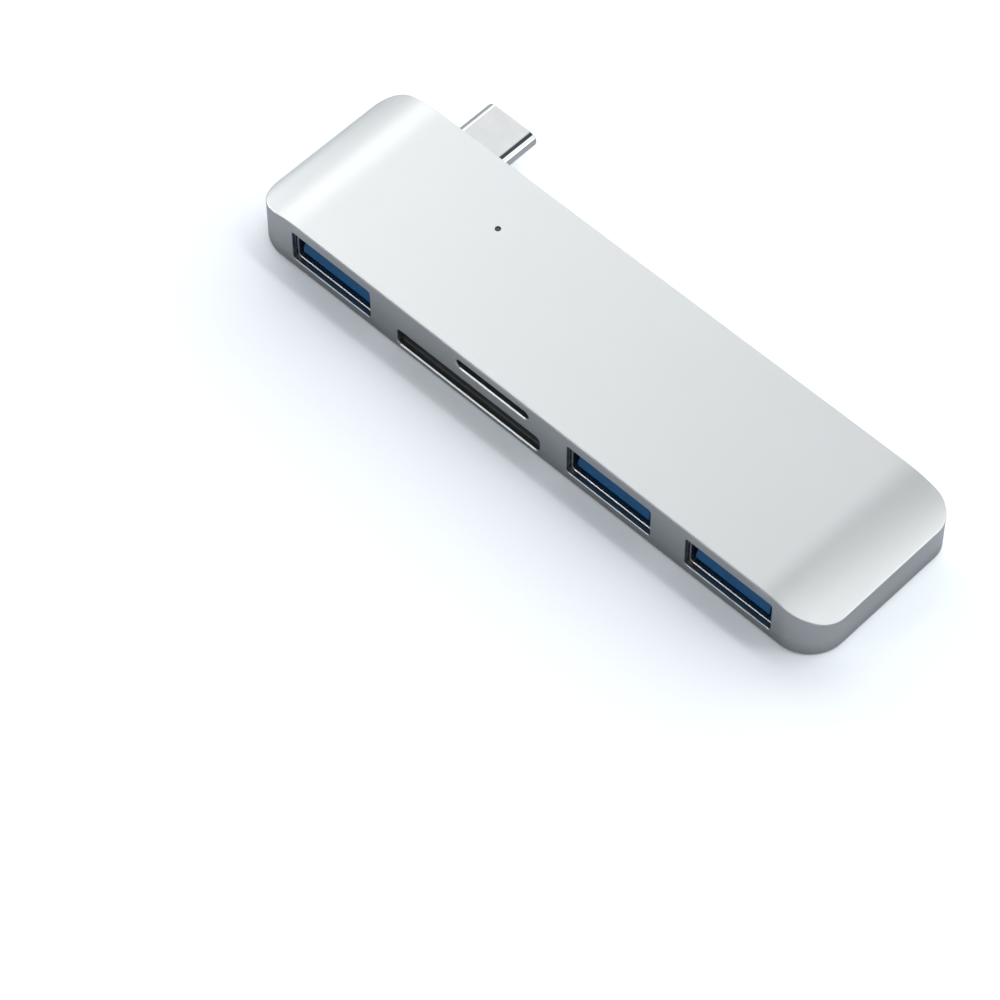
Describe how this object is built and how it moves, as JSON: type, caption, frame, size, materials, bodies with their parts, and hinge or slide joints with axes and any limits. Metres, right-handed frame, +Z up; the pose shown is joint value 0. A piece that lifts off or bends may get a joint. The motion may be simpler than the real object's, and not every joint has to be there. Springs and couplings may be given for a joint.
{
  "type": "usb hub",
  "caption": "Slim silver aluminium hub bar with USB-A ports, an SD slot and a microSD slot along one long side and a fixed USB-C plug on the other.",
  "frame": {"origin": "centre of the flat underside of the housing", "axes": "+X along the length, with the plug near the -X end; +Y out of the rear wall, the way the plug points; +Z up, out of the top face"},
  "size_m": [0.094, 0.0325, 0.0084],
  "materials": {
    "anodised_aluminium": "fine bead-blasted, clear anodised",
    "cover_aluminium": "fine bead-blasted, clear anodised",
    "insulation_film": "matt black film",
    "clear_acrylic": "clear moulded light pipe",
    "thermal_silicone": "soft matt pad",
    "black_plastic": "moulded, matt",
    "blue_plastic": "moulded, satin",
    "board_green": "solder mask on glass-fibre laminate",
    "chip_black": "moulded chip body",
    "crystal_can": "plated can",
    "ferrite_grey": "sintered ferrite",
    "capacitor_tan": "moulded capacitor body",
    "lamp_white": "small lamp package",
    "screw_steel": "zinc plated",
    "plated_steel": "tin-plated sheet",
    "nickel_plate": "polished nickel",
    "gold_plate": "gold plated",
    "spring_steel": "drawn wire"
  },
  "bodies": {
    "hub": {"board_screw_1": "screw_steel", "board_screw_2": "screw_steel", "board_screw_3": "screw_steel", "board_screw_4": "screw_steel", "bottom_cover": "cover_aluminium", "bulk_capacitor_1": "capacitor_tan", "bulk_capacitor_2": "capacitor_tan", "bulk_capacitor_3": "capacitor_tan", "card_reader_controller": "chip_black", "esd_array_1": "chip_black", "esd_array_2": "chip_black", "esd_array_3": "chip_black", "firmware_memory": "chip_black", "hub_controller": "chip_black", "hub_crystal": "crystal_can", "insulation_film": "insulation_film", "light_pipe": "clear_acrylic", "main_board": "board_green", "microsd_eject_spring": "spring_steel", "microsd_socket_base": "black_plastic", "microsd_socket_cover": "plated_steel", "plug_collar": "black_plastic", "power_inductor": "ferrite_grey", "power_switch": "chip_black", "sd_socket_base": "black_plastic", "sd_socket_cover": "plated_steel", "status_led": "lamp_white", "thermal_pad": "thermal_silicone", "top_housing": "anodised_aluminium", "usb_a_contact_1_data_minus": "gold_plate", "usb_a_contact_1_data_plus": "gold_plate", "usb_a_contact_1_ground": "gold_plate", "usb_a_contact_1_power": "gold_plate", "usb_a_contact_2_data_minus": "gold_plate", "usb_a_contact_2_data_plus": "gold_plate", "usb_a_contact_2_ground": "gold_plate", "usb_a_contact_2_power": "gold_plate", "usb_a_contact_3_data_minus": "gold_plate", "usb_a_contact_3_data_plus": "gold_plate", "usb_a_contact_3_ground": "gold_plate", "usb_a_contact_3_power": "gold_plate", "usb_a_insulator_1": "blue_plastic", "usb_a_insulator_2": "blue_plastic", "usb_a_insulator_3": "blue_plastic", "usb_a_shell_1": "plated_steel", "usb_a_shell_2": "plated_steel", "usb_a_shell_3": "plated_steel", "usb_c_bracket": "plated_steel", "usb_c_insulator": "black_plastic", "usb_c_shell": "nickel_plate", "voltage_regulator": "chip_black"},
    "eject_slider": {"microsd_eject_slider": "black_plastic"}
  },
  "joints": [
    {"name": "microsd_eject", "type": "slide", "parent": "hub", "child": "eject_slider", "axis": [0, 1, 0], "range_m": [0, 0.0044], "stiffness_N_per_m": 100, "springref_m": -0.005, "deforming": ["microsd_eject_spring"]}
  ]
}
